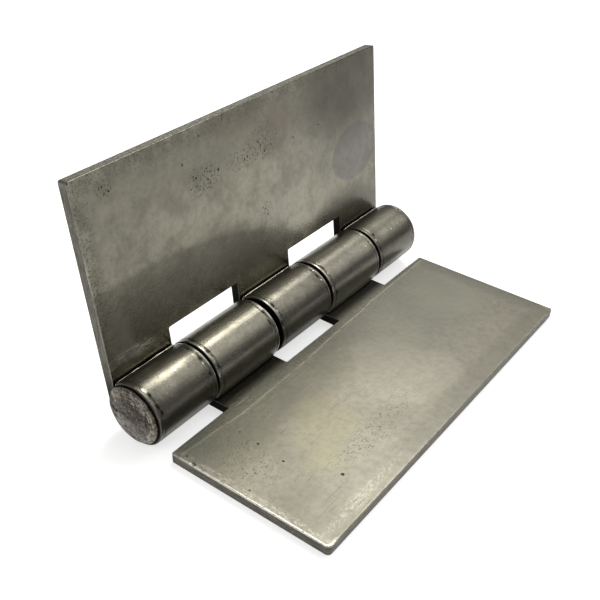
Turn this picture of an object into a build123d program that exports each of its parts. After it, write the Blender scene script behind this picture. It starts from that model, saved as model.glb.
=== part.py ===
# Flat weld-on hinge: two plain steel leaves with rolled knuckles, on one riveted pin.
# Millimetres, +Z up. The lying leaf rests on its outer face with its free edge towards +X, and
# the pin runs along Y. The origin is the centre of the lying leaf's outer face, the face that
# is welded down. The upright leaf is the other hand of the same shape, swung open.
import os
from math import asin, cos, degrees, radians, sin

from build123d import *

# Overall sizes
leaf_length = 100.0        # both leaves, along the pin
leaf_reach = 49.5          # pin axis to a leaf's free edge
sheet_thickness = 2.5      # leaves and knuckle walls are one sheet
open_angle = 97.1          # between the leaves, where 0 is closed and parallel

# Pin with an upset head on each end
pin_diameter = 10.0
head_inset = 0.58          # bare rim of the end knuckle left round a head
head_band = 0.5            # straight rim of the head, along the pin
head_crown = 0.8           # rise of the dome above that rim
head_bevel = 0.2           # both edges of the rim

# Fit of the knuckles on the pin, as a gap in radius
fixed_bore_gap = 0.03      # knuckles that the heads clamp
running_bore_gap = 0.08    # knuckles that turn on the pin

# Knuckles along the pin: the ends and the centre belong to the upright leaf
end_knuckle = 17.6
centre_knuckle = 19.3
end_gap = 0.55             # beside each end knuckle
centre_gap = 1.15          # each side of the centre knuckle
curl_gap = 0.4             # between a rolled end and its own leaf

# Notches that clear the other leaf's knuckles
upright_notch_gap = 2.55   # past the outside of the barrel
lying_notch_gap = 2.15
notch_corner = 0.3         # radius inside a notch

# Edges
leaf_corner = 0.6          # outer corners of a leaf, seen flat
edge_bevel = 0.25          # all along the cut edges and the knuckle rims

# Sizes that follow
pin_radius = pin_diameter / 2
fixed_bore = pin_radius + fixed_bore_gap
running_bore = pin_radius + running_bore_gap
upright_outside = fixed_bore + sheet_thickness
lying_outside = running_bore + sheet_thickness
head_radius = upright_outside - head_inset
upright_notch = lying_outside + upright_notch_gap
lying_notch = upright_outside + lying_notch_gap
half_length = leaf_length / 2
end_joint = half_length - end_knuckle
centre_joint = centre_knuckle / 2
overrun = leaf_corner + notch_corner
axis_place = Pos(-(lying_notch + leaf_reach) / 2, 0, lying_outside)


def about_pin(radius, angle):
    """Point of the section at a radius and an angle in degrees, with 0 along the leaf."""
    return (radius * cos(radians(angle)), radius * sin(radians(angle)))


def leaf_section(bore):
    """Sheet that runs flat under the pin, then back, up and over it to just above itself."""
    outside = bore + sheet_thickness
    rolled_end = degrees(asin((curl_gap - bore) / outside))
    with BuildSketch(Plane.XZ) as section:
        with BuildLine():
            Line((leaf_reach, -outside), (0, -outside))
            ThreePointArc((0, -outside), (-outside, 0), (0, outside))
            ThreePointArc((0, outside), about_pin(outside, 45), about_pin(outside, rolled_end))
            Line(about_pin(outside, rolled_end), about_pin(bore, rolled_end))
            ThreePointArc(about_pin(bore, rolled_end), about_pin(bore, 45), (0, bore))
            ThreePointArc((0, bore), (-bore, 0), (0, -bore))
            Line((0, -bore), (leaf_reach, -bore))
            Line((leaf_reach, -bore), (leaf_reach, -outside))
        make_face()
    return section.sketch


def notch(outside, depth, start, end):
    """Cutter that leaves no sheet nearer the pin than depth, between two places along it."""
    back = 2 * outside
    with BuildPart() as cutter:
        with BuildSketch(Plane.XY.offset(-back)):
            with Locations(((depth - back) / 2, (start + end) / 2)):
                Rectangle(depth + back, end - start)
        extrude(amount=2 * back)
        fillet(cutter.edges().filter_by(Axis.Z).group_by(Axis.X)[-1], notch_corner)
    return cutter.part


def eased(sheet):
    """Outer corners rounded first, then every cut edge that is still sharp is bevelled."""
    corners = sheet.edges().filter_by(Axis.Z)
    outer_corners = corners.group_by(lambda edge: abs(edge.center().Y))[-1]
    sheet = fillet(outer_corners, leaf_corner)
    edges = sheet.edges()
    bend_lines = edges.filter_by(Axis.Y).filter_by(lambda edge: abs(edge.center().X) < 0.01)
    return chamfer(edges - edges.filter_by(Axis.Z) - bend_lines, edge_bevel)


def leaf(bore, depth, notches):
    """Leaf with its pin axis along Y through the origin, lying along +X, outer face down."""
    outside = bore + sheet_thickness
    sheet = extrude(leaf_section(bore), amount=half_length, both=True)
    for start, end in notches:
        sheet -= notch(outside, depth, start, end)
    return eased(sheet)


def lying_leaf():
    """Root of the hinge, with the two knuckles between the other leaf's three."""
    ends = half_length + overrun
    beside_end = end_joint - end_gap
    beside_centre = centre_joint + centre_gap
    notches = [(-ends, -beside_end), (-beside_centre, beside_centre), (beside_end, ends)]
    return axis_place * leaf(running_bore, lying_notch, notches)


def upright_leaf():
    """Other hand of the leaf, swung open about the pin, with the end and centre knuckles."""
    notches = [(-end_joint, -centre_joint), (centre_joint, end_joint)]
    closed = mirror(leaf(fixed_bore, upright_notch, notches), about=Plane.XY)
    return axis_place * Rot(0, -open_angle, 0) * closed


def hinge_pin():
    """Round bar with a low dome upset on each end, clamping the end knuckles between them."""
    dome_radius = (head_radius ** 2 + head_crown ** 2) / (2 * head_crown)
    half_way = asin(head_radius / dome_radius) / 2
    band_top = half_length + head_band
    crown_top = band_top + head_crown
    shoulder = (dome_radius * sin(half_way), crown_top - dome_radius * (1 - cos(half_way)))
    with BuildPart() as bar:
        with BuildSketch(Plane.XY) as half_section:
            with BuildLine():
                Polyline((0, crown_top), (0, 0), (pin_radius, 0), (pin_radius, half_length),
                         (head_radius, half_length), (head_radius, band_top))
                ThreePointArc((head_radius, band_top), shoulder, (0, crown_top))
            make_face()
            mirror(about=Plane.XZ)
        revolve(axis=Axis.Y)
        rims = bar.edges().filter_by(GeomType.CIRCLE).filter_by(
            lambda edge: abs(edge.radius - head_radius) < 0.001)
        chamfer(rims, head_bevel)
    return axis_place * bar.part


pieces = {"lying_leaf": lying_leaf(), "upright_leaf": upright_leaf(), "hinge_pin": hinge_pin()}
os.makedirs("parts", exist_ok=True)
for node, solid in pieces.items():
    export_step(solid, f"parts/{node}.step")
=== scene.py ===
import math
import random

import bmesh
import bpy
from mathutils import Matrix, Vector, noise


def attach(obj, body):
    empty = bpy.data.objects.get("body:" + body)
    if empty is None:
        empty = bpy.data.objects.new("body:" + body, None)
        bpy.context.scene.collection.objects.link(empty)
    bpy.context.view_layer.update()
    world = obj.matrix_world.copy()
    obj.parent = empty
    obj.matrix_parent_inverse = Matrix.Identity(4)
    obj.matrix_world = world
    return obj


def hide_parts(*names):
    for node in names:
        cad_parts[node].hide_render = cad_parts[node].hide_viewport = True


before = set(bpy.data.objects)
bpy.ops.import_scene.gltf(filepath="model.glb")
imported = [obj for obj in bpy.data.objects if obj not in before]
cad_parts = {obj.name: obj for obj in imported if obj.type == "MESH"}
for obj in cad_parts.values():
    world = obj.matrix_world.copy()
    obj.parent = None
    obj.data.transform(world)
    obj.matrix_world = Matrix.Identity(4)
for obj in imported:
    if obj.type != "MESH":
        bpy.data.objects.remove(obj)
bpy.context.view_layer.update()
mm = 0.001
mergeWithin, cutWithin = 1e-4, 1e-5            # mm
print("packed frame loaded:", ", ".join(sorted(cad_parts)))

# Where the pin lies. All shapes are made round it, in millimetres, and placed last.
pinLine = {"x": -29.59, "z": 7.58}

# Camera at the photograph's place, found from the corners and knuckle rims
camera = {
    "place": (72.238, -136.136, 125.355),      # mm
    "right": (0.80067, 0.59814, 0.03400),
    "up": (-0.39797, 0.48858, 0.77648),
    "lens": 50.78,
    "sensor": 36,
    "shift": (0.0, 0.12),
    "clip": (0.005, 20),                       # m
}


def makeCamera():
    lens = bpy.data.cameras.new("photoCamera")
    lens.lens = camera["lens"]
    lens.sensor_width = camera["sensor"]
    lens.shift_x, lens.shift_y = camera["shift"]
    lens.clip_start, lens.clip_end = camera["clip"]
    right, up = Vector(camera["right"]).normalized(), Vector(camera["up"]).normalized()
    back = right.cross(up).normalized()
    up = back.cross(right)
    eye = bpy.data.objects.new("photoCamera", lens)
    turn = Matrix((right, up, back)).transposed()
    eye.matrix_world = Matrix.Translation(Vector(camera["place"]) * mm) @ turn.to_4x4()
    bpy.context.scene.collection.objects.link(eye)
    bpy.context.scene.camera = eye


makeCamera()
print("camera set")


def linear(hexCode):
    # sRGB hex to the linear colour that shaders use
    parts = [int(hexCode[i:i + 2], 16) / 255 for i in (1, 3, 5)]
    return tuple(p / 12.92 if p <= 0.04045 else ((p + 0.055) / 1.055) ** 2.4 for p in parts) + (1.0,)


def addNode(tree, kind, settings):
    # A number as a key is the place of an input. A node or an output as a value is linked.
    node = tree.nodes.new(kind)
    for key, value in settings.items():
        source = value.outputs[0] if isinstance(value, bpy.types.Node) else value
        if isinstance(source, bpy.types.NodeSocket):
            tree.links.new(source, node.inputs[key])
        elif isinstance(key, int) or key in node.inputs:
            node.inputs[key].default_value = source
        else:
            setattr(node, key, source)
    return node


def newTree(name):
    material = bpy.data.materials.new(name)
    material.use_nodes = True
    material.node_tree.nodes.clear()
    return material, material.node_tree


# Marks on the metal. Each has a mask: noise between two levels, pits in some cells, or ragged round
# spots. It says what the mask does to colour, roughness and height. Sizes are mm on the metal, spots
# are (x, y, wide, long), and "zone" and "within" hold a mark to a part of the surface.
noMark = {"size": 1.0, "detail": 2, "grit": 0.5, "stretch": (1, 1, 1), "turn": 0.0, "seed": 0,
          "low": 0.0, "high": 1.0, "soft": 0.5, "ragged": 0.2, "zone": None, "within": None,
          "upside": False, "hex": None, "strength": 1.0, "rough": 0.0, "height": 0.0}

# What marks of one kind share
scratch = {"size": 0.22, "detail": 1, "stretch": (1, 40, 8), "low": 0.66, "high": 0.77,
           "zone": "scuffed", "hex": "#b4b0a2"}              # drawn wider than real
# rubbed streaks, partly a painted sheen along an edge
rubbedWithSheen = {"detail": 4, "grit": 0.75, "low": 0.4, "high": 0.75, "hex": "#cbc7b7"}
fineGrit = {"detail": 3, "grit": 0.7}
stray = {"soft": 0.8, "hex": "#1f1e1b", "strength": 0.85}
# painted shade: dark smudges beside the knuckle rims
rimPaintedShade = {"soft": 0.8, "ragged": 0.4, "hex": "#1f1d19", "strength": 0.85, "rough": 0.2}
# small bumps with painted glints
paintedGlintBumps = {"soft": 0.9, "ragged": 0.35, "hex": "#d2cebf", "strength": 0.8, "height": 0.06}
# painted shade on a knuckle end beside a joint, widening its dark ring
paintedJointShade = {"soft": 0.6, "ragged": 0.15, "hex": "#1a1916", "rough": 0.25}
# painted shade low on the barrel
lowPaintedShade = {"soft": 1.2, "hex": "#45443c", "strength": 0.5}
# painted shade in the narrow gaps and the bore
paintedGapShade = {"size": 2.0, "seed": 15, "low": 0.05, "high": 0.25, "strength": 0.95, "rough": 0.3}

# Leaf steel: pickled and oiled hot-rolled sheet, bare. It gives the eye a dull silver with cloudy warm
# and grey patches, fine random scratches and scattered small pits. The rolled knuckles are smoother
# and grainy, with dark smudges of painted shade beside their rims.
leafSteel = {
    "name": "pickledSheetSteel",
    "hex": "#7b786e",
    "roughness": 0.42,
    "knuckleRoughness": 0.265,
    "marks": [
        # oil clouds, olive bloom, rosy bloom
        {"size": 22, "low": 0.34, "high": 0.66, "hex": "#848174", "rough": -0.03},
        {"size": 30, "seed": 31, "low": 0.5, "high": 0.75, "hex": "#83826a", "strength": 0.4},
        {"size": 30, "seed": 31, "low": 0.48, "high": 0.25, "hex": "#7f776e", "strength": 0.35},
        # grain, which is finer on real steel and would not show
        {"size": 1.6, "detail": 4, "grit": 0.65, "seed": 7, "low": 0.35, "high": 0.75, "hex": "#4b4a43",
         "strength": 0.28, "height": 0.006},
        {"size": 0.5, "grit": 0.6, "seed": 3, "height": 0.007},
        # rolling waves
        {"size": 6, "seed": 83, "height": 0.022},
        {**scratch, "turn": 1.45, "seed": 41, "strength": 0.2, "rough": 0.04},
        # streaks from the curling die, then grain, smudges, and bright and dark specks on the knuckles
        {"size": 0.45, "grit": 0.6, "stretch": (1, 30, 1), "seed": 13, "zone": "rolled", "rough": 0.08,
         "height": 0.01},
        {"size": 1.3, "detail": 4, "grit": 0.7, "seed": 21, "low": 0.42, "high": 0.72, "zone": "rolled",
         "hex": "#5a594d", "strength": 0.34, "rough": 0.03},
        {"size": 4.0, "detail": 3, "grit": 0.6, "seed": 97, "low": 0.48, "high": 0.68, "zone": "rolled",
         "hex": "#5c5a4a", "strength": 0.2, "rough": 0.03},
        {"size": 0.5, "detail": 3, "grit": 0.6, "seed": 53, "low": 0.56, "high": 0.74, "zone": "rolled",
         "hex": "#b9b6a2", "strength": 0.45, "rough": -0.05, "height": 0.01},
        {"size": 0.7, "detail": 3, "grit": 0.6, "seed": 71, "low": 0.62, "high": 0.74, "zone": "rolled",
         "hex": "#2f2e28", "strength": 0.45, "rough": 0.1},
        # painted shade: dark smudges in the line beside each rim
        {"size": 0.9, "detail": 3, "grit": 0.6, "stretch": (1, 0.5, 1), "seed": 61, "low": 0.46,
         "high": 0.58, "zone": "groove", "hex": "#2e2c27", "strength": 0.85, "rough": 0.2},
        # the press line, lightened as a painted highlight
        {"size": 3.0, "detail": 3, "low": 0.3, "high": 0.5, "zone": "pressed", "hex": "#bdb9a8",
         "strength": 0.7},
        # edges lighter, partly wear and partly a painted highlight, brighter on the knuckles, with a
        # black lip of painted shade at the joints and the curl's end
        {"size": 0.9, "seed": 29, "low": 0.3, "high": 0.6, "zone": "rim", "hex": "#a5a194",
         "strength": 0.45},
        {"size": 1.4, "seed": 37, "low": 0.2, "high": 0.5, "zone": "knuckleRim", "hex": "#d2cebf",
         "strength": 0.8, "rough": -0.06},
        {"size": 3.0, "seed": 39, "low": 0.1, "high": 0.4, "zone": "lip", "hex": "#26241f",
         "strength": 0.85, "rough": 0.2},
        # scattered pits
        {"cells": 2.6, "scatter": 0.75, "chosen": 0.85, "crowd": 14, "crowded": 0.52, "radius": 0.18,
         "hex": "#1f1e1b", "strength": 0.7, "height": -0.05},
    ],
}

# Cut edge steel: the sheet's sheared edges, rougher and darker, streaked along the cut. It is nearly
# black inside the notches and round the pin, painted shade in the narrow gaps and the bore.
cutSteel = {
    "name": "shearedSheetEdge",
    "hex": "#504e47",
    "roughness": 0.42,
    "marks": [
        {"size": 2.2, "detail": 4, "grit": 0.65, "low": 0.35, "high": 0.65, "hex": "#706d63",
         "height": 0.04},
        {"size": 0.7, "detail": 3, "grit": 0.6, "seed": 9, "low": 0.45, "high": 0.68, "hex": "#35332e",
         "strength": 0.75, "height": -0.03},
        {**paintedGapShade, "zone": "notch", "hex": "#141310"},
        {**paintedGapShade, "zone": "bore", "hex": "#171613"},
    ],
}

# Hammered bar end: mild steel peened cold. It gives the eye a brownish grey, rough and pitted, with
# dull glints.
peenedSteel = {
    "name": "peenedBarEnd",
    "hex": "#4d483e",
    "roughness": 0.42,
    "marks": [
        {"size": 2.2, "detail": 4, "grit": 0.65, "low": 0.35, "high": 0.65, "hex": "#665f54",
         "height": 0.12},
        # pale patches, and the dark centre
        {"spots": [(-2.0, -3.6, 3.6, 2.6), (2.6, -5.0, 2.6, 1.6)], "soft": 0.8, "ragged": 2.0,
         "hex": "#8f8a87", "strength": 0.55, "rough": -0.03},
        {"spots": [(5.2, -3.4, 1.6, 3.0), (-4.8, 4.0, 1.6, 1.4), (2.6, 5.2, 2.4, 0.9)], "soft": 0.8,
         "ragged": 0.8, "hex": "#9b958a", "strength": 0.6},
        {"spots": [(0.0, 2.2, 3.8, 3.2)], "soft": 0.8, "ragged": 1.0, "hex": "#38352a",
         "strength": 0.75, "rough": -0.05},
        # crests of the tool lines, lightened as a painted highlight, and a dark streak across them
        {"size": 1.6, "detail": 3, "seed": 33, "low": 0.3, "high": 0.5, "zone": "toolCrest",
         "hex": "#b8b1a4", "strength": 0.65},
        {"spots": [(4.2, 0.4, 0.5, 2.4)], "soft": 0.9, "ragged": 0.6, "hex": "#1d1b17",
         "strength": 0.8},
        # dark pits, and bright raised flecks with painted glints
        {"size": 0.9, "detail": 3, "grit": 0.65, "seed": 19, "low": 0.5, "high": 0.6, "hex": "#1f1c18",
         "strength": 0.55, "height": -0.1, "rough": 0.1},
        {"size": 0.8, "detail": 3, "grit": 0.65, "seed": 27, "low": 0.57, "high": 0.66,
         "hex": "#cdc6bf", "strength": 0.35, "height": 0.06},
    ],
}

# Zones hold marks to a part of a surface. A soft one runs from none at one level of a measure to full
# at another, a sharp one lies on one side of a level, and a shared one is where two others meet.
softZones = {
    "outward": ("edgeDistance", 0.75, 0.95),       # mm
    "inward": ("edgeDistance", 1.4, 1.15),
    "rim": ("edgeDistance", 0.55, 0.2),
    "lip": ("edgeDistance", 0.18, 0.08),
    "border": ("edgeDistance", 6.0, 1.0),
    "bore": ("depth", 13.8, 12.8),                 # mm into the sheet, times depthScale
    "scuffed": ("patches", 0.4, 0.62),             # level of a noise
}
sharpZones = {
    "byPin": ("along", "LESS_THAN", 10.3),
    "inside": ("aside", "LESS_THAN", 49.5),
    "onFlat": ("along", "GREATER_THAN", 0.0),
    "onOutside": ("depth", "GREATER_THAN", 7.5),
}
sharedZones = (("groove", "outward", "inward"), ("groove", "groove", "rolled"),
               ("knuckleRim", "rim", "rolled"), ("lip", "lip", "rolled"), ("bore", "bore", "rolled"),
               ("notch", "byPin", "inside"))
patchSize = 11                                     # mm
depthScale = 6
withinEdge = {"soft": 1.0, "ragged": 2.0}


def spotMask(tree, place, spots, soft, ragged):
    # ragged round spots, by the distance in radii to the nearest one
    waves = 0.9 / max(ragged, 0.3)
    wobble = addNode(tree, "ShaderNodeTexNoise", {"Scale": waves, "Detail": 3, "Vector": place})
    moved = addNode(tree, "ShaderNodeVectorMath", {"operation": "MULTIPLY_ADD",
                                                   0: wobble.outputs["Color"], 1: (ragged,) * 3,
                                                   2: place})
    nearest = None
    for x, y, wide, long in spots:
        offset = addNode(tree, "ShaderNodeVectorMath", {"operation": "SUBTRACT", 0: moved,
                                                        1: (x + ragged / 2, y + ragged / 2, 0)})
        offset = addNode(tree, "ShaderNodeVectorMath", {"operation": "MULTIPLY", 0: offset,
                                                        1: (1 / wide, 1 / long, 0)})
        away = addNode(tree, "ShaderNodeVectorMath", {"operation": "LENGTH",
                                                      0: offset}).outputs["Value"]
        nearest = away if nearest is None else addNode(tree, "ShaderNodeMath", {
            "operation": "MINIMUM", 0: nearest, 1: away})
    return addNode(tree, "ShaderNodeMapRange", {"interpolation_type": "SMOOTHSTEP", "Value": nearest,
                                                "From Min": 1 + soft / 2, "From Max": 1 - soft / 2})


def pitMask(tree, place, mark):
    # one small pit in some of the cells, crowded in places
    cells = addNode(tree, "ShaderNodeTexVoronoi", {"Scale": 1 / mark["cells"], "Vector": place,
                                                   "Randomness": mark["scatter"]})
    chance = addNode(tree, "ShaderNodeSeparateColor", {"Color": cells.outputs["Color"]})
    chance = addNode(tree, "ShaderNodeMath", {"operation": "GREATER_THAN", 0: chance,
                                              1: mark["chosen"]})
    crowd = addNode(tree, "ShaderNodeTexNoise", {"Scale": 1 / mark["crowd"], "Detail": 1,
                                                 "Vector": place})
    crowd = addNode(tree, "ShaderNodeMath", {"operation": "GREATER_THAN", 0: crowd,
                                             1: mark["crowded"]})
    radius = mark["radius"] / mark["cells"]
    pit = addNode(tree, "ShaderNodeMapRange", {"interpolation_type": "SMOOTHSTEP",
                                               "Value": cells.outputs["Distance"],
                                               "From Min": radius, "From Max": 0.5 * radius})
    chance = addNode(tree, "ShaderNodeMath", {"operation": "MULTIPLY", 0: chance, 1: crowd})
    return addNode(tree, "ShaderNodeMath", {"operation": "MULTIPLY", 0: pit, 1: chance})


def noiseMask(tree, place, mark):
    # noise between two levels, moved by the seed
    seed = mark["seed"]
    moved = addNode(tree, "ShaderNodeMapping", {
        "Vector": place, "Location": (seed, seed * 0.7, seed * 0.3), "Rotation": (0, 0, mark["turn"]),
        "Scale": tuple(1 / (mark["size"] * part) for part in mark["stretch"])})
    level = addNode(tree, "ShaderNodeTexNoise", {"Scale": 1.0, "Detail": mark["detail"],
                                                 "Roughness": mark["grit"], "Vector": moved})
    return addNode(tree, "ShaderNodeMapRange", {"interpolation_type": "SMOOTHSTEP", "Value": level,
                                                "From Min": mark["low"], "From Max": mark["high"]})


def makeZones(tree, place):
    # every measure and zone by its name
    apart = addNode(tree, "ShaderNodeSeparateXYZ", {"Vector": place})
    zones = {"along": apart.outputs["X"], "depth": apart.outputs["Z"]}
    zones["aside"] = addNode(tree, "ShaderNodeMath", {"operation": "ABSOLUTE", 0: apart.outputs["Y"]})
    zones["patches"] = addNode(tree, "ShaderNodeTexNoise", {"Scale": 1 / patchSize, "Detail": 1,
                                                            "Vector": place})
    for name in ("edgeDistance", "rolled", "pressed", "toolCrest"):
        zones[name] = addNode(tree, "ShaderNodeAttribute", {"attribute_name": name}).outputs["Fac"]
    for name, (measure, none, full) in softZones.items():
        zones[name] = addNode(tree, "ShaderNodeMapRange", {
            "interpolation_type": "SMOOTHSTEP", "Value": zones[measure], "From Min": none,
            "From Max": full})
    for name, (measure, operation, level) in sharpZones.items():
        zones[name] = addNode(tree, "ShaderNodeMath", {"operation": operation, 0: zones[measure],
                                                       1: level})
    for name, first, second in sharedZones:
        zones[name] = addNode(tree, "ShaderNodeMath", {"operation": "MULTIPLY", 0: zones[first],
                                                       1: zones[second]})
    # the face towards the pin, and round the outside of the knuckles
    upside = addNode(tree, "ShaderNodeMath", {"operation": "SUBTRACT", 0: zones["onFlat"],
                                              1: zones["onOutside"]})
    zones["upside"] = addNode(tree, "ShaderNodeMath", {"operation": "ABSOLUTE", 0: upside})
    return zones


def makeSteel(steel):
    material, tree = newTree(steel["name"])
    place = addNode(tree, "ShaderNodeAttribute", {"attribute_name": "sheetPlace"}).outputs["Vector"]
    zones = makeZones(tree, place)
    colour = addNode(tree, "ShaderNodeRGB", {})
    colour.outputs[0].default_value = linear(steel["hex"])
    knuckleRoughness = steel.get("knuckleRoughness", steel["roughness"])
    rough = addNode(tree, "ShaderNodeMath", {"operation": "MULTIPLY_ADD", 0: zones["rolled"],
                                             1: knuckleRoughness - steel["roughness"],
                                             2: steel["roughness"]})
    height = addNode(tree, "ShaderNodeValue", {})
    for given in steel["marks"]:
        mark = {**noMark, **given}
        if "spots" in mark:
            mask = spotMask(tree, place, mark["spots"], mark["soft"], mark["ragged"])
        elif "cells" in mark:
            mask = pitMask(tree, place, mark)
        else:
            mask = noiseMask(tree, place, mark)
        holds = [zones["upside"]] if mark["upside"] else []
        if mark["within"]:
            holds.append(spotMask(tree, place, mark["within"], **withinEdge))
        if mark["zone"]:
            holds.append(zones[mark["zone"]])
        for hold in holds:
            mask = addNode(tree, "ShaderNodeMath", {"operation": "MULTIPLY", 0: mask, 1: hold})
        if mark["hex"]:
            share = addNode(tree, "ShaderNodeMath", {"operation": "MULTIPLY", 0: mask,
                                                     1: mark["strength"]})
            colour = addNode(tree, "ShaderNodeMix", {"data_type": "RGBA", 0: share, 6: colour,
                                                     7: linear(mark["hex"])}).outputs[2]
        if mark["rough"]:
            rough = addNode(tree, "ShaderNodeMath", {"operation": "MULTIPLY_ADD", 0: mask,
                                                     1: mark["rough"], 2: rough})
        if mark["height"]:
            height = addNode(tree, "ShaderNodeMath", {"operation": "MULTIPLY_ADD", 0: mask,
                                                      1: mark["height"], 2: height})

    bump = addNode(tree, "ShaderNodeBump", {"Strength": 1.0, "Distance": mm, "Height": height})
    shader = addNode(tree, "ShaderNodeBsdfPrincipled", {"Metallic": 1.0, "Base Color": colour,
                                                        "Roughness": rough, "Normal": bump})
    addNode(tree, "ShaderNodeOutputMaterial", {"Surface": shader})
    return material


# Both leaves are one sheet each, curled at the tongues
sheet = {
    "length": 100.0,
    "reach": 49.5,
    "thickness": 2.5,
    "curlGap": 0.4,
    "curlSteps": 64,
    "leafCorner": 0.55,
    "notchCorner": 0.3,
    "cornerSteps": 5,
    "edgeRound": 0.22,
    "edgeSteps": 3,
    "rimRows": (0.4, 0.76, 0.91, 1.06, 1.21, 1.36, 1.6),   # mm in from each knuckle rim
    "rimDrop": 0.05,
    "grooveAt": 1.06,         # line pressed beside each knuckle rim
    "grooveHalf": 0.3,
    "grooveDepth": 0.08,
    "gridStep": 1.6,
    "gridStart": 1.2,         # mm from the notches to the first cut
    "gridEnd": 2.0,           # mm left uncut at the free edge
    # burr on the curl's end, as mm back from the end and share of its height
    "burrShape": ((0.24, 0.0), (0.31, 0.6), (0.38, 1.0), (0.415, 0.5), (0.45, 0.0)),
    "burrReach": 0.5,
    "burrFromRim": 0.3,
    "burrUneven": (0.85, 0.5, 0.8),                        # level, spread, and waves per mm
    "pressHeight": 0.025,
    "pressHalf": 0.35,
    "pressFromEdge": 0.5,
    "rolledFade": 2.5,        # mm out on to the flat
}


def outlineOf(leaf):
    half, reach, depth = sheet["length"] / 2, sheet["reach"], leaf["notchDepth"]
    points = [(reach, -half), (reach, half)]
    y = half
    for low, high in reversed(leaf["knuckles"]):
        if high < y:
            points += [(depth, y), (depth, high)]
        points += [(0, high), (0, low)]
        y = low
    if y > -half:
        points += [(depth, y), (depth, -half)]
    return points


def nearestEdge(x, y, outline):
    # distance in mm to the outline, leaving out the lines where a tongue runs on into its curl
    best = math.inf
    for (ax, ay), (bx, by) in zip(outline, outline[1:] + outline[:1]):
        if ax == 0 and bx == 0:
            continue
        span = Vector((bx - ax, by - ay))
        along = max(0.0, min(1.0, (Vector((x - ax, y - ay)) @ span) / span.length_squared))
        best = min(best, (Vector((ax, ay)) + span * along - Vector((x, y))).length)
    return best


def pressLineAt(y, points):
    # the faint line that the press left across a leaf, as x for a place along the pin
    for (ya, xa), (yb, xb) in zip(points, points[1:]):
        if y <= yb:
            share = max(0.0, (y - ya) / (yb - ya))
            share = share * share * (3 - 2 * share)
            return xa + (xb - xa) * share
    return points[-1][1]


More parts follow.
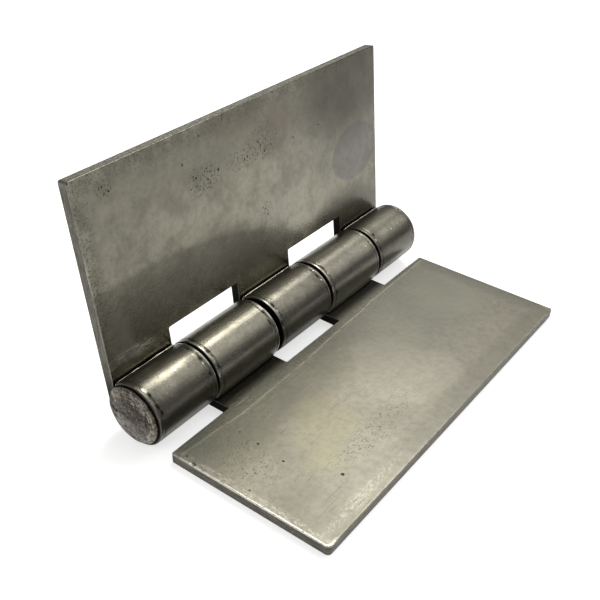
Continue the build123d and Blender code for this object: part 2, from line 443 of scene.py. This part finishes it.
def makeLeaf(leaf, materials):
    bore, thick = leaf["bore"], sheet["thickness"]
    outside = bore + thick
    half = sheet["length"] / 2
    outline = outlineOf(leaf)
    bm = bmesh.new()
    bm.faces.new([bm.verts.new((x, y, -bore)) for x, y in outline])
    squareTurn = 1.4          # rad, a little under a right angle
    corners = [v.co.copy() for v in bm.verts if v.co.x > 1 and v.calc_edge_angle() > squareTurn]
    for at in corners:
        outer = abs(abs(at.y) - half) < 0.01
        radius = leaf["wornCorners"].get((round(at.x, 1), round(at.y, 1)),
                                         sheet["leafCorner"] if outer else sheet["notchCorner"])
        corner = min(bm.verts, key=lambda v: (v.co - at).length)
        bmesh.ops.bevel(bm, geom=[corner], offset=radius, offset_type="OFFSET", affect="VERTICES",
                        segments=sheet["cornerSteps"], profile=0.5, material=-1)

    # the tongues are curled up and over the pin
    tongues = [e for e in bm.edges if all(abs(v.co.x) < cutWithin for v in e.verts)]
    curl = math.radians(270) - math.asin((sheet["curlGap"] - bore) / outside)
    geom = tongues + list({v for e in tongues for v in e.verts})
    bmesh.ops.spin(bm, geom=geom, cent=(0, 0, 0), axis=(0, 1, 0), dvec=(0, 0, 0), angle=curl,
                   steps=sheet["curlSteps"], use_merge=False, use_normal_flip=False,
                   use_duplicate=False)
    bmesh.ops.remove_doubles(bm, verts=bm.verts, dist=mergeWithin)
    bmesh.ops.recalc_face_normals(bm, faces=bm.faces)
    flat = max(bm.faces, key=lambda f: f.calc_area())
    if flat.normal.z < 0:
        bmesh.ops.reverse_faces(bm, faces=bm.faces)
    bmesh.ops.solidify(bm, geom=bm.faces[:], thickness=thick)
    bmesh.ops.remove_doubles(bm, verts=bm.verts, dist=mergeWithin)
    bmesh.ops.recalc_face_normals(bm, faces=bm.faces)

    def isFlat(p):
        return p.x > 0 and p.z < -bore + 0.05

    def depthOf(p):
        # how far from the pin's axis, by the flat's plane or the curl's radius
        return -p.z if isFlat(p) else math.hypot(p.x, p.z)

    def turnedTo(p):
        # how far round the curl, from the flat's underside
        return (-math.atan2(p.z, p.x) - math.pi / 2) % math.tau

    # the middle of a cut face lies near the middle of the sheet's thickness
    for face in bm.faces:
        fromMiddle = abs(depthOf(face.calc_center_median()) - bore - thick / 2)
        face.material_index = int(fromMiddle < 0.3 * thick)
    sharpTurn = 1.0           # rad
    rims = [e for e in bm.edges if len(e.link_faces) == 2 and e.calc_face_angle() > sharpTurn]
    made = bmesh.ops.bevel(bm, geom=rims, offset=sheet["edgeRound"], offset_type="OFFSET",
                           affect="EDGES", segments=sheet["edgeSteps"], profile=0.5,
                           clamp_overlap=False, material=-1)
    for face in made["faces"]:
        face.material_index = 0

    # the sheet is diced, so that its marks have vertices to sit on
    step = sheet["gridStep"]
    ends = [end for pair in leaf["knuckles"] for end in pair]
    cutsY = [low + row for low, high in leaf["knuckles"] for row in sheet["rimRows"]]
    cutsY += [high - row for low, high in leaf["knuckles"] for row in sheet["rimRows"]]
    count = round(sheet["length"] / step)
    for i in range(1, count):
        y = -half + sheet["length"] * i / count
        if all(abs(y - other) > 0.6 * step for other in cutsY + ends):
            cutsY.append(y)
    pressNear, pressFar = min(x for y, x in leaf["pressLine"]), max(x for y, x in leaf["pressLine"])
    pressMiddle = (pressNear + pressFar) / 2
    steps = int((sheet["reach"] - leaf["notchDepth"] - sheet["gridEnd"]) / step)
    cutsX = [leaf["notchDepth"] + sheet["gridStart"] + step * i for i in range(steps)]
    cutsX = [x for x in cutsX if not pressNear - step / 2 < x < pressFar + step / 2]
    cutsX += [pressMiddle - sheet["pressHalf"], pressMiddle, pressMiddle + sheet["pressHalf"]]
    for axis, cuts in (((0, 1, 0), cutsY), ((1, 0, 0), cutsX)):
        for at in cuts:
            bmesh.ops.bisect_plane(bm, geom=bm.verts[:] + bm.edges[:] + bm.faces[:], dist=cutWithin,
                                   plane_co=Vector(axis) * at, plane_no=axis)
    lastTurn = 0.4            # rad of the curl that the burr's cuts go through
    for back, share in sheet["burrShape"]:
        turned = curl - back / outside
        near = [f for f in bm.faces if not isFlat(f.calc_center_median())
                and turnedTo(f.calc_center_median()) > curl - lastTurn]
        near += list({e for f in near for e in f.edges}) + list({v for f in near for v in f.verts})
        bmesh.ops.bisect_plane(bm, geom=near, dist=cutWithin, plane_co=(0, 0, 0),
                               plane_no=(-math.cos(turned), 0, math.sin(turned)))

    # where each vertex lies on the flat sheet, for the materials
    sheetPlace = bm.verts.layers.float_vector.new("sheetPlace")
    edgeDistance = bm.verts.layers.float.new("edgeDistance")
    rolled = bm.verts.layers.float.new("rolled")
    pressed = bm.verts.layers.float.new("pressed")
    toRims = {}
    for v in bm.verts:
        p = v.co
        if isFlat(p):
            along = p.x
            toEdge = nearestEdge(p.x, p.y, outline)
            v[rolled] = max(0.0, 1 - p.x / sheet["rolledFade"])
        else:
            turned = turnedTo(p)
            along = -turned * outside
            toEdge = min(abs(p.y - end) for end in ends)
            toRims[v] = toEdge
            toEdge = min(toEdge, (curl - turned) * outside)
            v[rolled] = 1.0
        v[sheetPlace] = (along, p.y, (depthOf(p) - bore) * depthScale)
        v[edgeDistance] = toEdge

    # marks in the metal: the line beside each knuckle rim, the burr on the curl's end, the press line
    level, spread, waves = sheet["burrUneven"]
    for v in bm.verts:
        p = v.co
        if v in toRims and math.hypot(p.x, p.z) > outside - 0.5 * thick:
            near = toRims[v]
            fromGroove = abs(near - sheet["grooveAt"]) / sheet["grooveHalf"]
            lift = -sheet["rimDrop"] * max(0.0, 1 - near / sheet["grooveAt"])
            lift -= sheet["grooveDepth"] * max(0.0, 1 - fromGroove)
            back = (curl - turnedTo(p)) * outside
            if back < sheet["burrReach"] and near > sheet["burrFromRim"]:
                share = min(sheet["burrShape"], key=lambda row: abs(row[0] - back))[1]
                uneven = level + spread * noise.noise(Vector((p.y * waves, bore * 9, 0)))
                lift += leaf["burr"] * uneven * share
            radius = math.hypot(p.x, p.z)
            p.x, p.z = p.x * (1 + lift / radius), p.z * (1 + lift / radius)
        elif (isFlat(p) and p.z > -bore - 0.02 and abs(p.x - pressMiddle) < sheet["pressHalf"] + 0.05
              and v[edgeDistance] > sheet["pressFromEdge"]):
            if abs(p.x - pressMiddle) < 0.1:
                fade = max(0.0, min(1.0, v[edgeDistance] - sheet["pressFromEdge"]))
                v[pressed] = leaf["pressed"] * fade
                p.z += sheet["pressHeight"] * v[pressed]
            p.x += pressLineAt(p.y, leaf["pressLine"]) - pressMiddle
            v[sheetPlace] = (p.x, p.y, (depthOf(p) - bore) * depthScale)
    bmesh.ops.recalc_face_normals(bm, faces=bm.faces)
    for face in bm.faces:
        face.smooth = True

    turn = Matrix.Identity(4)
    if leaf["openAngle"]:
        bmesh.ops.scale(bm, vec=(1, 1, -1), verts=bm.verts)
        bmesh.ops.recalc_face_normals(bm, faces=bm.faces)
        turn = Matrix.Rotation(-math.radians(leaf["openAngle"]), 4, "Y")
    return finishPiece(bm, turn, leaf, materials)


def finishPiece(bm, turn, piece, materials):
    place = Matrix.Translation((pinLine["x"] * mm, 0, pinLine["z"] * mm)) @ turn @ Matrix.Scale(mm, 4)
    bmesh.ops.transform(bm, matrix=place, verts=bm.verts)
    mesh = bpy.data.meshes.new(piece["name"])
    bm.to_mesh(mesh)
    bm.free()
    for material in materials:
        mesh.materials.append(material)
    made = bpy.data.objects.new(piece["name"], mesh)
    bpy.context.scene.collection.objects.link(made)
    weighted = made.modifiers.new("flatFacesStayFlat", "WEIGHTED_NORMAL")
    weighted.keep_sharp = False
    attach(made, piece["body"])
    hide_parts(piece["node"])
    print(piece["name"], len(mesh.polygons), "faces")
    return made


lyingLeaf = {
    "name": "lying_leaf_sheet", "node": "lying_leaf", "body": "lying_side", "slot": "leaf_steel",
    "bore": 5.08,
    "notchDepth": 9.68,
    "knuckles": [(-31.85, -10.93), (10.67, 31.72)],    # cut a little off centre
    "openAngle": 0.0,
    "wornCorners": {(49.5, -50.0): 1.0},
    "burr": 0.1,
    "roughness": 0.42,
    "pressLine": [(-50, 11.6), (-42, 12.2), (-30, 13.2), (-17, 13.0), (16.5, 11.8), (24, 11.2),
                  (50, 11.0)],
    "pressed": 1.0,
    "edgeMarks": [],
    "marks": [
        # single pits
        {**stray, "spots": [(12.6, -48.6, 0.3, 0.25), (15.3, -49.5, 0.6, 0.35),
                            (21.8, -36.7, 0.25, 0.2), (29.0, -37.4, 0.25, 0.2),
                            (40.6, -32.9, 0.35, 0.3), (16.5, -36.3, 0.2, 0.2),
                            (28.8, -47.9, 0.2, 0.15)],
         "ragged": 0.35, "height": -0.08},
        # painted shade beside the barrel, paler at the far end, darker near corners
        {"spots": [(12.0, -24.0, 11.0, 34.0)], "soft": 0.9, "ragged": 3.0, "hex": "#55554c",
         "strength": 0.55},
        {"spots": [(24.0, 39.0, 10.0, 10.0)], "soft": 1.0, "ragged": 4.0, "hex": "#8f8d80",
         "strength": 0.5},
        {"spots": [(8.0, -46.0, 8.0, 6.0)], "soft": 1.0, "ragged": 2.0, "hex": "#5a5c55",
         "strength": 0.35},
        {"spots": [(44.0, -46.0, 10.0, 10.0)], "soft": 1.0, "ragged": 3.0, "hex": "#5c5b52",
         "strength": 0.35},
        # pale wipe marks, and a yellowish patch
        {"spots": [(33.0, -2.0, 9.0, 7.0), (28.0, 5.0, 10.0, 8.0), (38.0, 8.0, 7.0, 8.0)], "soft": 0.3,
         "ragged": 4.0, "hex": "#918d82", "strength": 0.27},
        {"spots": [(30.0, -24.0, 6.5, 9.0), (34.5, -31.0, 4.5, 6.0), (25.0, -20.0, 5.0, 6.0)],
         "soft": 0.9, "ragged": 6.0, "hex": "#7f7a60", "strength": 0.32},
        # greyer far half and far edges
        {"spots": [(20.0, 28.0, 14.0, 22.0)], "soft": 1.2, "ragged": 5.0, "hex": "#6f7066",
         "strength": 0.5},
        {"spots": [(47.0, 12.0, 3.0, 40.0), (30.0, 49.0, 30.0, 3.0)], "soft": 1.0, "ragged": 3.0,
         "hex": "#62625a", "strength": 0.4},
        # rubbed along the free edge and the near one, partly a painted sheen, with a painted highlight
        # on the near rim
        {**rubbedWithSheen, "size": 0.45, "stretch": (1, 2, 1), "seed": 57,
         "within": [(46.8, -36.0, 1.2, 14.0)], "strength": 0.35},
        {**rubbedWithSheen, "size": 0.4, "stretch": (2, 1, 1), "seed": 58,
         "within": [(30.0, -48.9, 20.0, 0.9)], "strength": 0.5},
        {"size": 0.8, "detail": 3, "grit": 0.6, "seed": 59, "low": 0.28, "high": 0.55, "zone": "rim",
         "within": [(31.0, -49.8, 21.0, 3.0)], "hex": "#efebdf", "strength": 0.75, "rough": -0.06},
        {**scratch, "turn": 0.35, "seed": 5, "strength": 0.22, "height": -0.012, "rough": 0.08},
        {**scratch, "turn": -0.9, "seed": 17, "strength": 0.25, "height": -0.012, "rough": 0.08},
        # painted shade low on the barrel
        {**lowPaintedShade, "spots": [(-35.0, 0.0, 4.5, 60.0)]},
        # paler on top of the far knuckle, and painted shade on the knuckle end by the far joint
        {"spots": [(-22.5, 20.0, 1.6, 8.0)], "soft": 1.0, "ragged": 1.2, "hex": "#a9a696",
         "strength": 0.5},
        {**paintedJointShade, "spots": [(-27.0, 31.65, 14.0, 0.22)], "strength": 0.9},
        # fine pitting; dark grit of painted shade beside the knuckles; painted shade and painted glints
        # at the knuckle rims
        {**fineGrit, "size": 0.55, "seed": 87, "low": 0.57, "high": 0.7,
         "within": [(38.5, -16.0, 3.0, 16.0), (22.0, -42.0, 9.0, 6.0)],
         "hex": "#3a3932", "strength": 0.5, "height": -0.02},
        {**fineGrit, "size": 0.6, "seed": 77, "low": 0.5, "high": 0.66,
         "within": [(8.0, -16.0, 6.0, 40.0), (8.0, 25, 6.0, 20.0)],
         "hex": "#2f2e29", "strength": 0.45, "rough": 0.1},
        {**rimPaintedShade, "spots": [(-27.3, -30.8, 0.5, 0.45), (-22.9, -30.7, 0.7, 0.3),
                               (-31.2, -30.9, 0.6, 0.3), (-27.3, -12.0, 0.6, 0.4),
                               (-30.0, -12.4, 0.8, 0.3), (-22.8, -11.6, 0.6, 0.3),
                               (-26.8, 11.9, 0.9, 0.25), (-34.0, 12.2, 0.6, 0.4)]},
        {**paintedGlintBumps, "spots": [(-28.8, 11.9, 0.3, 0.22), (-28.8, 30.9, 0.35, 0.2),
                                  (-28.8, 28.9, 0.2, 0.3)]},
    ],
}
uprightLeaf = {
    "name": "upright_leaf_sheet", "node": "upright_leaf", "body": "upright_side", "slot": "leaf_steel",
    "bore": 5.03,
    "notchDepth": 10.13,
    "knuckles": [(-50.0, -32.4), (-9.42, 9.84), (32.4, 50.0)],
    "openAngle": 97.1,
    "wornCorners": {},
    "burr": 0.17,
    "roughness": 0.26,
    "pressLine": [(-50, 13.4), (50, 13.4)],
    "pressed": 0.0,
    "edgeMarks": [{"size": 1.5, "detail": 4, "grit": 0.7, "low": 0.2, "high": 0.6,
                   "within": [(50.0, 0.0, 1.5, 70.0)], "hex": "#a8a598", "strength": 0.55}],
    "marks": [
        # paler by the barrel, a painted reflection of the bright barrel
        {"spots": [(4.0, -22.0, 20.0, 52.0)], "soft": 1.0, "ragged": 3.0, "hex": "#a5a293",
         "strength": 0.8},
        {"spots": [(15.0, -18.0, 5.5, 13.0)], "soft": 1.2, "ragged": 3.0, "hex": "#c4c1b2",
         "strength": 0.55},
        # darker along the free edge, and painted shade by the far knuckle
        {"spots": [(45.0, -12.0, 9.0, 38.0)], "soft": 1.2, "ragged": 4.0, "hex": "#4f4e45",
         "strength": 0.4},
        {"spots": [(9.0, 34.0, 8.0, 14.0)], "soft": 0.7, "ragged": 4.0, "hex": "#35342f",
         "strength": 0.6},
        # washer stain
        {"spots": [(25.5, 40.0, 7.2, 10.0)], "soft": 0.12, "ragged": 0.8, "hex": "#58565a",
         "strength": 0.5},
        # painted shade darkening the far corner, brownish patches, uneven border
        {"spots": [(44.0, 37.0, 12.5, 17.0)], "soft": 1.1, "ragged": 4.0, "hex": "#302f28",
         "strength": 0.8},
        {"spots": [(48.0, -4.0, 5.0, 8.0), (41.0, 8.0, 6.0, 6.0)], "soft": 0.9, "ragged": 5.0,
         "hex": "#5f564c", "strength": 0.45},
        {"size": 3.0, "detail": 4, "grit": 0.65, "seed": 64, "low": 0.35, "high": 0.6,
         "zone": "border", "hex": "#4a4940", "strength": 0.45},
        # dry scale rubbed through
        {"size": 0.5, "detail": 3, "grit": 0.65, "stretch": (1, 5, 1), "seed": 45, "low": 0.42,
         "high": 0.6, "within": [(9.6, -44.0, 1.6, 7.5)], "hex": "#e2ddcc", "strength": 0.85,
         "rough": 0.1, "height": 0.03},
        {"spots": [(12.0, -46.0, 8.0, 3.5)], "soft": 0.9, "ragged": 1.2, "hex": "#b5b0a2",
         "strength": 0.4, "rough": 0.1},
        # painted shade: the leaf darker low down, where it mirrors the lying leaf; the barrel darker
        # low down, and black further down next to the lying leaf
        {"spots": [(0.0, -40.0, 26.3, 62.0)], "soft": 0.07, "ragged": 1.5, "hex": "#4f4e45",
         "strength": 0.5},
        {**lowPaintedShade, "spots": [(-23.5, 0.0, 4.5, 60.0)]},
        {"spots": [(-17.0, 0.0, 3.4, 60.0)], "soft": 0.9, "ragged": 0.5, "hex": "#23211d",
         "strength": 0.8, "rough": 0.2},
        # patches of pitting, with bright edges
        {**fineGrit, "size": 0.55, "seed": 23, "low": 0.55, "high": 0.68, "hex": "#24221e",
         "strength": 0.75, "height": -0.04,
         "within": [(38.0, -16.0, 3.0, 5.0), (38.0, -3.0, 2.2, 5.0), (39.5, 4.0, 4.0, 5.0),
                    (24.0, 3.0, 2.0, 2.0), (45.5, -41.8, 1.5, 1.8)]},
        {**fineGrit, "size": 0.45, "seed": 24, "low": 0.58, "high": 0.7, "hex": "#c0baa8",
         "strength": 0.5, "height": 0.03,
         "within": [(38.0, -16.0, 3.0, 5.0), (39.5, 4.0, 4.0, 5.0)]},
        # painted highlights: a pale streak on the near knuckle and a bright line along the burr; the
        # far knuckle darker, and painted shade on the knuckle end by the far joint
        {"spots": [(-32.9, -42.0, 1.6, 5.0)], "soft": 1.0, "ragged": 1.0, "hex": "#a9a696",
         "strength": 0.3},
        {"spots": [(-40.1, 0.0, 0.22, 53.0)], "soft": 0.6, "ragged": 0.15, "hex": "#efeadb",
         "strength": 0.85, "rough": -0.05},
        {"spots": [(-26.7, 43.0, 2.5, 6.0)], "soft": 1.0, "ragged": 1.0, "hex": "#4a4940",
         "strength": 0.4},
        {**paintedJointShade, "spots": [(-27.0, 32.45, 14.0, 0.25)], "strength": 0.95},
        # mottle, fine and coarse, and rust specks by the edges
        {"size": 2.0, "detail": 4, "grit": 0.7, "seed": 93, "low": 0.5, "high": 0.72, "hex": "#4a4840",
         "strength": 0.25},
        {"size": 5.5, "detail": 5, "grit": 0.6, "seed": 91, "low": 0.42, "high": 0.7, "hex": "#5c5a50",
         "strength": 0.45, "rough": 0.03},
        {"size": 0.55, "detail": 3, "grit": 0.6, "seed": 47, "low": 0.52, "high": 0.66,
         "zone": "border", "hex": "#3f3d36", "strength": 0.45, "height": -0.015},
        # painted shade: dark smudges beside the knuckle rims
        {**rimPaintedShade, "spots": [(-30.8, -33.65, 0.6, 0.5), (-34.6, -33.7, 0.7, 0.3),
                               (-27.0, -33.8, 0.5, 0.35), (-31.1, -8.5, 0.6, 0.35),
                               (-26.3, -9.0, 0.7, 0.3), (-30.8, 8.5, 0.6, 0.4),
                               (-31.0, 34.0, 0.5, 0.4), (-26.9, 33.3, 0.6, 0.3),
                               (-30.7, -48.8, 0.6, 0.35), (-27.8, -48.9, 0.8, 0.35),
                               (-26.3, -48.6, 0.5, 0.4)]},
        # small bumps with painted glints
        {**paintedGlintBumps, "spots": [(-29.5, -33.9, 0.35, 0.22), (-29.4, -8.5, 0.4, 0.22),
                                  (-32.5, 9.1, 0.2, 0.25), (-29.3, 8.8, 0.25, 0.2),
                                  (-29.4, 33.5, 0.3, 0.2), (-29.5, 41.0, 0.2, 0.3),
                                  (-29.6, 39.4, 0.15, 0.2), (-29.8, 44.6, 0.2, 0.2),
                                  (-32.2, -45.6, 0.2, 0.15), (-32.6, -44.2, 0.15, 0.12),
                                  (-32.0, -46.6, 0.12, 0.15)]},
        # a painted highlight on a small bump on the near rim
        {"spots": [(-32.2, -48.9, 0.8, 0.45)], "soft": 0.7, "ragged": 0.4, "hex": "#dedac9",
         "height": 0.08},
        # single pits
        {**stray, "spots": [(42.9, -21.5, 0.25, 0.2), (38.4, -11.3, 0.3, 0.25),
                            (38.9, -18.1, 0.2, 0.25), (37.4, -14.7, 0.25, 0.2),
                            (44.7, -41.1, 0.25, 0.2), (46.0, -42.5, 0.2, 0.2),
                            (47.2, -15.8, 0.2, 0.2), (38.0, -1.7, 0.25, 0.2),
                            (37.7, -2.6, 0.2, 0.2), (39.0, 3.0, 0.3, 0.25),
                            (37.4, 4.2, 0.25, 0.25), (39.9, 2.4, 0.25, 0.2),
                            (37.0, 24.8, 0.2, 0.2), (37.0, 14.9, 0.2, 0.2)],
         "ragged": 0.4, "height": -0.06},
    ],
}

for leaf in (lyingLeaf, uprightLeaf):
    ownMarks = [{**mark, "upside": True} for mark in leaf["marks"]]
    leafFace = {**leafSteel, "name": leafSteel["name"] + "_" + leaf["body"],
                "roughness": leaf["roughness"], "marks": leafSteel["marks"] + ownMarks}
    leafEdge = {**cutSteel, "name": cutSteel["name"] + "_" + leaf["body"],
                "marks": cutSteel["marks"] + leaf["edgeMarks"]}
    makeLeaf(leaf, [makeSteel(leafFace), makeSteel(leafEdge)])
print("leaves made")

# Pin with a head upset by hammer on each end
pin = {
    "name": "riveted_pin", "node": "hinge_pin", "body": "upright_side", "slot": "pin_steel",
    "radius": 5.0,
    "halfLength": 50.0,
    "headRadius": 6.85,
    "headFoot": 5.9,          # the head draws in where it meets the knuckle
    "headUnder": 0.22,
    "headShift": (-0.18, -0.08),      # the hammered head sits a little off the bar's centre
    "headBand": 0.5,
    "headCrown": 0.8,
    "edgeRound": 0.25,
    "edgeSteps": 4,
    "rings": 66,
    "steps": 260,
    "outOfRound": (0.02, 0.35),                        # share of a radius, and waves per mm
    "hammered": (0.04, 0.06, 0.7),                     # least depth, uneven part, and waves per mm
    "rimFade": 0.4,
    "dents": 24,
    "dentsWithin": 0.95,      # share of the head's radius
    "dentSizes": (0.8, 1.8),
    "dentDepth": 0.16,
    "pits": 60,
    "pitBearing": (232, 28),          # middle and spread, degrees
    "pitsAway": (0.8, 6.2),
    "pitSizes": (0.25, 0.55),
    "pitDepth": 0.22,
    "depthShares": (0.3, 1.0),        # of the deepest dent or pit
    "toolLines": [(48, 3.6, 6.3), (-35, 4.8, 6.6)],    # bearing, and how far in and out they run
    "toolFades": (0.6, 0.3),
    "toolDepth": 0.13,
    "toolPitch": 0.7,
}


def toolLineAt(here):
    # 0 between the lines that the heading tool left round a head, and 1 on their crests
    away, bearing = here.length, math.atan2(here.y, here.x)
    fadeIn, fadeOut = pin["toolFades"]
    crest = 0.0
    for towards, near, far in pin["toolLines"]:
        share = max(0.0, math.cos(bearing - math.radians(towards))) ** 2
        share *= max(0.0, min(1.0, (away - near) / fadeIn)) * max(0.0, min(1.0, (far - away) / fadeOut))
        crest += share * (0.5 - 0.5 * math.cos(away * math.tau / pin["toolPitch"]))
    return crest


def headSunk(here, side, dents, pits):
    # how deep the hammer, the pits and the tool lines go at a place on a head
    sunk = 0.0
    for hollows, depth in ((dents, pin["dentDepth"]), (pits, pin["pitDepth"])):
        sunk += depth * max(deep * max(0.0, 1 - ((here - middle).length / wide) ** 2)
                            for middle, wide, deep in hollows)
    least, part, waves = pin["hammered"]
    sunk += least + part * (0.5 + 0.5 * noise.noise(Vector((here.x * waves, here.y * waves, side * 7))))
    return sunk - pin["toolDepth"] * toolLineAt(here)


def makePin(materials):
    radius, half, headRadius = pin["radius"], pin["halfLength"], pin["headRadius"]
    crown = pin["headCrown"]
    crownTop = half + pin["headBand"] + crown
    domeRadius = (headRadius ** 2 + crown ** 2) / (2 * crown)
    bm = bmesh.new()
    top = bm.verts.new((0, crownTop, 0))
    bmesh.ops.spin(bm, geom=[top], cent=(0, crownTop - domeRadius, 0), axis=(0, 0, -1),
                   dvec=(0, 0, 0), angle=math.asin(headRadius / domeRadius), steps=pin["rings"],
                   use_merge=False, use_duplicate=False)
    last = max(bm.verts, key=lambda v: v.co.x)
    last.co = (headRadius, crownTop - crown, 0)
    for x, y in ((headRadius, half + pin["headUnder"]), (pin["headFoot"], half), (radius, half),
                 (radius, 0)):
        last = bmesh.ops.extrude_vert_indiv(bm, verts=[last])["verts"][0]
        last.co = (x, y, 0)
    rim = [v for v in bm.verts if abs(v.co.x - headRadius) < mergeWithin and v.co.y > half + 0.3]
    bmesh.ops.bevel(bm, geom=rim, offset=pin["edgeRound"], offset_type="OFFSET", affect="VERTICES",
                    segments=pin["edgeSteps"], profile=0.5, clamp_overlap=False, material=-1)
    bmesh.ops.spin(bm, geom=bm.verts[:] + bm.edges[:], cent=(0, 0, 0), axis=(0, 1, 0),
                   dvec=(0, 0, 0), angle=math.tau, steps=pin["steps"], use_merge=True,
                   use_duplicate=False)
    bmesh.ops.remove_doubles(bm, verts=bm.verts, dist=mergeWithin)
    bmesh.ops.mirror(bm, geom=bm.verts[:] + bm.edges[:] + bm.faces[:], matrix=Matrix.Identity(4),
                     merge_dist=1e-3, axis="Y")
    bmesh.ops.recalc_face_normals(bm, faces=bm.faces)

    sheetPlace = bm.verts.layers.float_vector.new("sheetPlace")
    toolCrest = bm.verts.layers.float.new("toolCrest")
    draw = random.Random(11)
    dents, pits = [], []
    for _ in range(pin["dents"]):
        bearing = draw.uniform(0, math.tau)
        far = headRadius * math.sqrt(draw.random()) * pin["dentsWithin"]
        dents.append((Vector((far * math.cos(bearing), far * math.sin(bearing))),
                      draw.uniform(*pin["dentSizes"]), draw.uniform(*pin["depthShares"])))
    for _ in range(pin["pits"]):
        bearing, far = math.radians(draw.gauss(*pin["pitBearing"])), draw.uniform(*pin["pitsAway"])
        pits.append((Vector((far * math.cos(bearing), far * math.sin(bearing))),
                     draw.uniform(*pin["pitSizes"]), draw.uniform(*pin["depthShares"])))
    shiftX, shiftZ = pin["headShift"]
    outOfRound, waves = pin["outOfRound"]
    for v in bm.verts:
        away = math.hypot(v.co.x, v.co.z)
        side = math.copysign(1, v.co.y)
        here = Vector((v.co.x, v.co.z)) if side < 0 else Vector((v.co.z, v.co.x))
        v[sheetPlace] = (here.x, here.y, v.co.y)
        v[toolCrest] = toolLineAt(here)
        if abs(v.co.y) > half + 0.1 and away < headRadius - 0.02:
            fade = min(1.0, (headRadius - away) / pin["rimFade"])
            v.co.y -= side * headSunk(here, side, dents, pits) * fade
        if abs(v.co.y) > half - 0.01 and away > radius + 0.01:
            uneven = noise.noise(Vector((here.x * waves, here.y * waves, side * 3)))
            uneven = 1 + outOfRound * uneven
            v.co.x, v.co.z = v.co.x * uneven + shiftX, v.co.z * uneven + shiftZ
    for face in bm.faces:
        face.smooth = True
    return finishPiece(bm, Matrix.Identity(4), pin, materials)


makePin([makeSteel(peenedSteel)])
print("pin made")

# Pale floor, soft key light behind and above, and a plain room with soft glows
studio = {
    "floorColour": "#f7f7f6",
    "floorHalf": 4.0,                 # m
    "floorDrop": 0.0001,
    "floorLift": 0.62,
    "keyAim": (-0.02, 0, 0.01),       # m
    "keyBearing": 112.0,              # degrees from +X
    "keyHeight": 56.0,
    "keyAway": 0.75,                  # m
    "keySize": 0.27,
    "keyWatts": 1.95,
    "keyColour": (1.0, 0.985, 0.94),
    "roomBase": 0.1,
    "glows": [                        # bearing, height, where it ends and where it is full, strength
        (0.0, 90.0, 85.0, 10.0, 0.10),
        (45.0, 40.0, 40.0, 5.0, 0.35),
        (62.0, 34.0, 22.0, 4.0, 1.15),
        (243.0, 33.0, 30.0, 5.0, 1.3),
        (150.0, 40.0, 40.0, 5.0, 0.1),
        (80.0, 65.0, 35.0, 5.0, 0.95),
        (100.0, 30.0, 35.0, 5.0, 0.24),
    ],
}


def wayTo(bearing, height):
    bearing, height = math.radians(bearing), math.radians(height)
    return Vector((math.cos(bearing) * math.cos(height), math.sin(bearing) * math.cos(height),
                   math.sin(height)))


def makeStudio():
    bm = bmesh.new()
    bmesh.ops.create_grid(bm, x_segments=1, y_segments=1, size=studio["floorHalf"],
                          matrix=Matrix.Translation((0, 0, -studio["floorDrop"])))
    mesh = bpy.data.meshes.new("studioFloor")
    bm.to_mesh(mesh)
    bm.free()
    floor = bpy.data.objects.new("studioFloor", mesh)
    bpy.context.scene.collection.objects.link(floor)
    material, tree = newTree("whitePaperSweep")
    paper = addNode(tree, "ShaderNodeBsdfDiffuse", {"Color": linear(studio["floorColour"])})
    # the paper is lifted towards white where it is seen, itself or in the metal
    ray = addNode(tree, "ShaderNodeLightPath", {})
    seen = ray.outputs["Is Camera Ray"]
    for other in ("Is Glossy Ray", "Is Transmission Ray"):
        seen = addNode(tree, "ShaderNodeMath", {"operation": "MAXIMUM", 0: seen,
                                                1: ray.outputs[other]})
    lift = addNode(tree, "ShaderNodeMath", {"operation": "MULTIPLY", 0: seen, 1: studio["floorLift"]})
    glow = addNode(tree, "ShaderNodeEmission", {"Color": (1, 1, 1, 1), "Strength": lift})
    both = addNode(tree, "ShaderNodeAddShader", {0: paper, 1: glow})
    addNode(tree, "ShaderNodeOutputMaterial", {"Surface": both})
    mesh.materials.append(material)

    key = bpy.data.lights.new("keySoftbox", "AREA")
    key.shape = "SQUARE"
    key.size = studio["keySize"]
    key.energy = studio["keyWatts"]
    key.color = studio["keyColour"]
    lamp = bpy.data.objects.new("keySoftbox", key)
    way = wayTo(studio["keyBearing"], studio["keyHeight"])
    lamp.location = Vector(studio["keyAim"]) + way * studio["keyAway"]
    lamp.rotation_mode = "QUATERNION"
    lamp.rotation_quaternion = way.to_track_quat("Z", "Y")
    bpy.context.scene.collection.objects.link(lamp)

    world = bpy.data.worlds.new("studioRoom")
    bpy.context.scene.world = world
    world.use_nodes = True
    tree = world.node_tree
    tree.nodes.clear()
    towards = addNode(tree, "ShaderNodeTexCoord", {}).outputs["Generated"]
    level = addNode(tree, "ShaderNodeValue", {})
    level.name = "roomBase"
    level.outputs[0].default_value = studio["roomBase"]
    for i, (bearing, height, end, full, strength) in enumerate(studio["glows"]):
        aligned = addNode(tree, "ShaderNodeVectorMath", {"operation": "DOT_PRODUCT", 0: towards,
                                                         1: wayTo(bearing, height)}).outputs["Value"]
        share = addNode(tree, "ShaderNodeMapRange", {"interpolation_type": "SMOOTHSTEP",
                                                     "Value": aligned,
                                                     "From Min": math.cos(math.radians(end)),
                                                     "From Max": math.cos(math.radians(full))})
        level = addNode(tree, "ShaderNodeMath", {"name": f"glow{i}", "operation": "MULTIPLY_ADD",
                                                 0: share, 1: strength, 2: level})
    sky = addNode(tree, "ShaderNodeBackground", {"Color": (1, 1, 1, 1), "Strength": level})
    addNode(tree, "ShaderNodeOutputWorld", {"Surface": sky})


makeStudio()
bpy.context.scene.view_settings.view_transform = "Standard"
print("studio lit")
